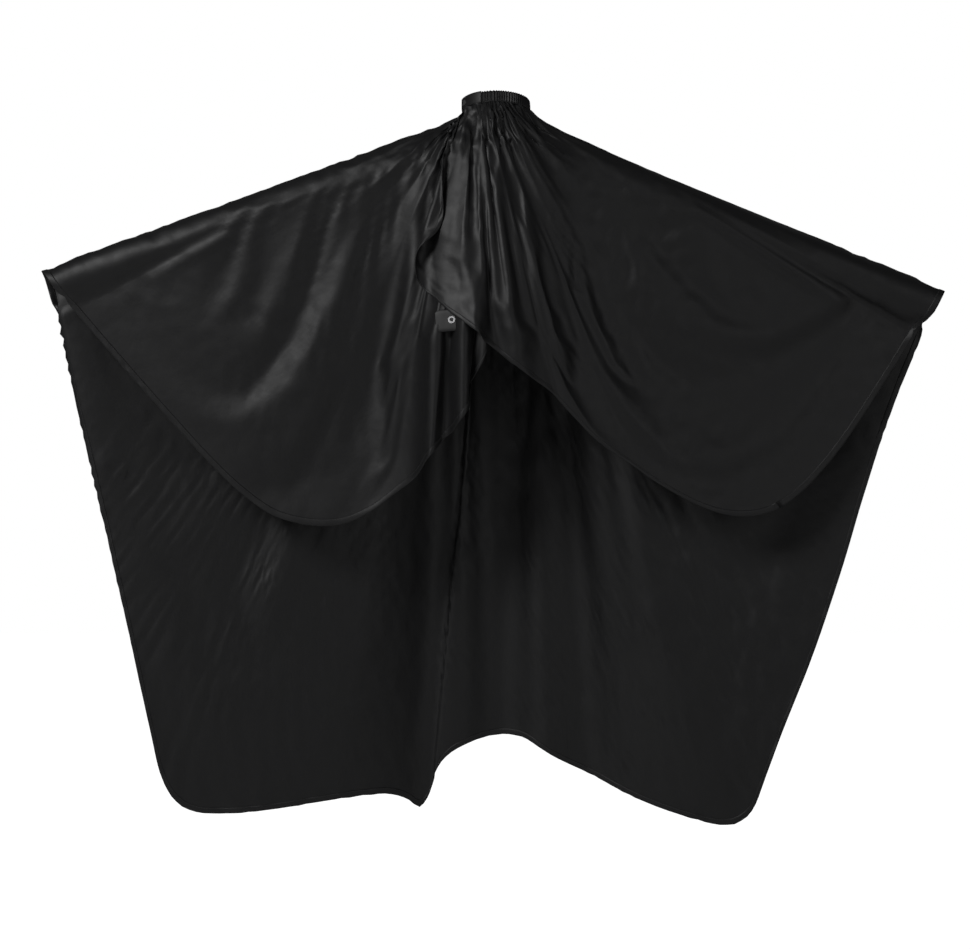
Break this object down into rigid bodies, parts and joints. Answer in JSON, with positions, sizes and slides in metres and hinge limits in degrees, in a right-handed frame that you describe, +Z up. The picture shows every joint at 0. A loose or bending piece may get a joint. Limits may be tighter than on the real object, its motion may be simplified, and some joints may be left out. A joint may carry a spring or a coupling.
{
  "type": "barber cape",
  "caption": "Thin cloth barber cape draped over outstretched arms, with a gathered elastic neckband, a press stud and a back opening whose free edge turns.",
  "frame": {"origin": "centre of the neck opening, in the neckband's middle plane", "axes": "+X towards the wearer's right arm, +Y to the wearer's front, +Z up"},
  "size_m": [1.396, 0.2699, 1.124],
  "materials": {
    "cloth": "crisp black taffeta with a soft sheen",
    "elastic": "woven black elastic tape",
    "thread": "black polyester thread",
    "metal": "bright nickel"
  },
  "bodies": {
    "cape": {"front_panel_far_left": "cloth", "front_panel_mid_left": "cloth", "front_panel_mid_right": "cloth", "front_panel_far_right": "cloth", "left_back_panel": "cloth", "right_back_panel": "cloth", "neckband_inner_casing": "cloth", "neck_elastic": "elastic", "neckband_outer_casing": "cloth", "neckband_stitching": "thread", "underlap_tab": "cloth", "snap_stud": "metal", "snap_post": "metal", "corner_tab": "cloth", "corner_snap_socket": "metal", "corner_snap_post": "metal"},
    "flap": {"overlap_flap": "cloth", "overlap_tab": "cloth", "snap_cap": "metal", "snap_socket": "metal"}
  },
  "joints": [
    {"name": "overlap_turn", "type": "hinge", "parent": "cape", "child": "flap", "pos_m": [-0.0255, -0.0482, 0.0001], "axis": [-0.0788, 0.198, 0.977], "range_deg": [0, 60]}
  ]
}
